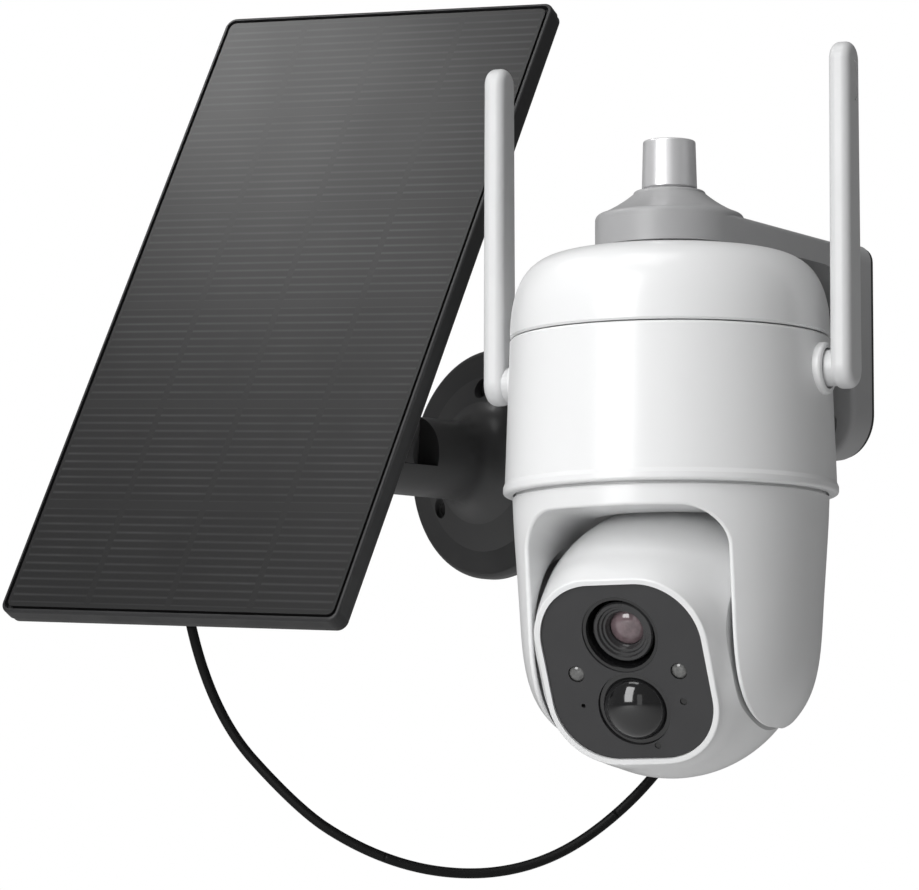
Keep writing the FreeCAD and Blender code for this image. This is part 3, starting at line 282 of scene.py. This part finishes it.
# each printed line is stronger in places
wob = solar.noise(55.0, 2.0)
wobm = solar.math("MULTIPLY", wob.outputs["Fac"], 1.0)
lines = solar.math("MULTIPLY", lines, wobm)
cellcol = solar.mix(inside, (0.0100, 0.0100, 0.0103, 1), solar.color)
facecol = solar.mix(lines, cellcol, (0.044, 0.044, 0.0452, 1))
solar.l.new(facecol, solar.b.inputs["Base Color"])
bp = solar.n.new("ShaderNodeBump")
bp.inputs["Strength"].default_value = 0.12
bp.inputs["Distance"].default_value = 0.0001
solar.l.new(lines, bp.inputs["Height"])
solar.l.new(bp.outputs["Normal"], solar.b.inputs["Normal"])

ASSIGN = {
    "white": ["top_cap", "housing_shell", "yoke_shell", "head_front_shell", "head_rear_shell", "card_cover"],
    "white_ant": ["antenna_left", "antenna_right"],
    "bracket": ["wall_bracket"], "knob": ["clamp_knob"],
    "steel": ["clamp_stud", "knob_washer", "pan_bolt", "tilt_bolt", "bracket_screws", "tilt_pins"],
    "brass": ["threaded_insert"], "rubber": ["bracket_gasket", "cap_seal", "base_gasket", "swivel_pad"],
    "chassis": ["inner_chassis", "battery_holder", "pan_shaft", "pan_bearing", "charge_socket"],
    "button": ["power_button", "reset_button"], "board": ["main_board", "wifi_module", "sensor_board"],
    "cellwrap": ["battery_cells"], "alu": ["speaker", "pan_motor", "tilt_motor", "pir_sensor"],
    "face": ["face_panel"], "sensor": ["status_light", "microphone", "light_sensor", "image_sensor"],
    "lens_black": ["lens_bezel"], "barrel": ["lens_barrel"], "lensglass": ["lens_glass"], "pir": ["pir_dome"], "led": ["spotlight_leds"],
    "arm": ["solar_base", "swivel_link", "panel_bracket", "junction_box", "cable_gland"],
    "framemat": ["panel_back"], "framehi": ["panel_frame"], "solar": ["panel_glass"], "chassis2": ["cell_laminate"],
    "cable": ["cable_plug"],
}
TABLE = dict(white=white, white_ant=white_ant, bracket=bracket, knob=knob, steel=steel, brass=brass, rubber=rubber, chassis=chassis, button=button,
             board=board, cellwrap=cellwrap, alu=alu, face=face, sensor=sensor, lens_black=lens_black, barrel=barrel, lensglass=lensglass, pir=pir,
             led=led, arm=arm, framemat=framemat, framehi=framehi, solar=solar, chassis2=chassis, cable=cable)
for key, names in ASSIGN.items():
    for nm in names:
        ob = NODES[nm]
        ob.data.materials.clear()
        ob.data.materials.append(TABLE[key].m)
for ob in cable_pieces:
    ob.data.materials.append(cable.m)

# ---------------------------------------------------------------------------
# stage and light
# ---------------------------------------------------------------------------
bm = bmesh.new()
bmesh.ops.create_circle(bm, cap_ends=True, radius=6.0, segments=96)
floor = mesh_object("floor", bm)
floor.location = (0, 0, -0.42)
fm = bpy.data.materials.new("floor_white")
fm.use_nodes = True
fm.node_tree.nodes["Principled BSDF"].inputs["Base Color"].default_value = (0.86, 0.86, 0.86, 1)
fm.node_tree.nodes["Principled BSDF"].inputs["Roughness"].default_value = 0.9
# the pale stage reads as evenly lit to the camera without lighting the object
flp = fm.node_tree.nodes.new("ShaderNodeLightPath")
fm.node_tree.nodes["Principled BSDF"].inputs["Emission Color"].default_value = (0.62, 0.62, 0.62, 1)
fm.node_tree.links.new(flp.outputs["Is Camera Ray"], fm.node_tree.nodes["Principled BSDF"].inputs["Emission Strength"])
floor.data.materials.append(fm)

world = bpy.data.worlds.new("studio")
scene.world = world
world.use_nodes = True
wn, wl = world.node_tree.nodes, world.node_tree.links
wn.clear()
out = wn.new("ShaderNodeOutputWorld")
lit, seen = wn.new("ShaderNodeBackground"), wn.new("ShaderNodeBackground")
lit.inputs["Color"].default_value = (1, 1, 1, 1)
lit.inputs["Strength"].default_value = 0.17
seen.inputs["Color"].default_value = (1, 1, 1, 1)
seen.inputs["Strength"].default_value = 1.0
lp = wn.new("ShaderNodeLightPath")
mx = wn.new("ShaderNodeMixShader")
wl.new(lp.outputs["Is Camera Ray"], mx.inputs[0])
wl.new(lit.outputs[0], mx.inputs[1])
wl.new(seen.outputs[0], mx.inputs[2])
wl.new(mx.outputs[0], out.inputs[0])

CENTRE = Vector((-0.05, -0.08, -0.02))
RIGHT = Vector((math.cos(math.radians(46.4)), math.sin(math.radians(46.4)), 0))
FRONT = Vector((math.sin(math.radians(46.4)), -math.cos(math.radians(46.4)), 0))


def softbox(name, direction, dist, size, power):
    ld = bpy.data.lights.new(name, "AREA")
    ld.shape = "RECTANGLE"
    ld.size, ld.size_y = size
    ld.energy = power
    ob = bpy.data.objects.new(name, ld)
    scene.collection.objects.link(ob)
    d = direction.normalized()
    ob.location = CENTRE + d * dist
    ob.rotation_euler = (-d).to_track_quat("-Z", "Y").to_euler()
    ob.visible_camera = False
    return ob


UP = Vector((0, 0, 1))
softbox("key", FRONT * 0.80 - RIGHT * 0.62 + UP * 0.38, 1.5, (0.7, 1.3), 18.5)
softbox("front_fill", FRONT * 1.0 - RIGHT * 0.05 + UP * 0.0, 1.9, (0.5, 1.4), 1.6)
softbox("top", UP * 1.0 - RIGHT * 0.20 + FRONT * 0.3, 1.4, (0.7, 0.7), 5.0)
sheen = softbox("panel_sheen", -RIGHT * 0.5 + UP * 0.8, 1.0, (0.12, 0.12), 0.62)
sheen.location = (-0.39, -0.296, 0.497)
sheen.rotation_euler = (Vector((-0.19, -0.075, 0.10)) - sheen.location).to_track_quat("-Z", "Y").to_euler()
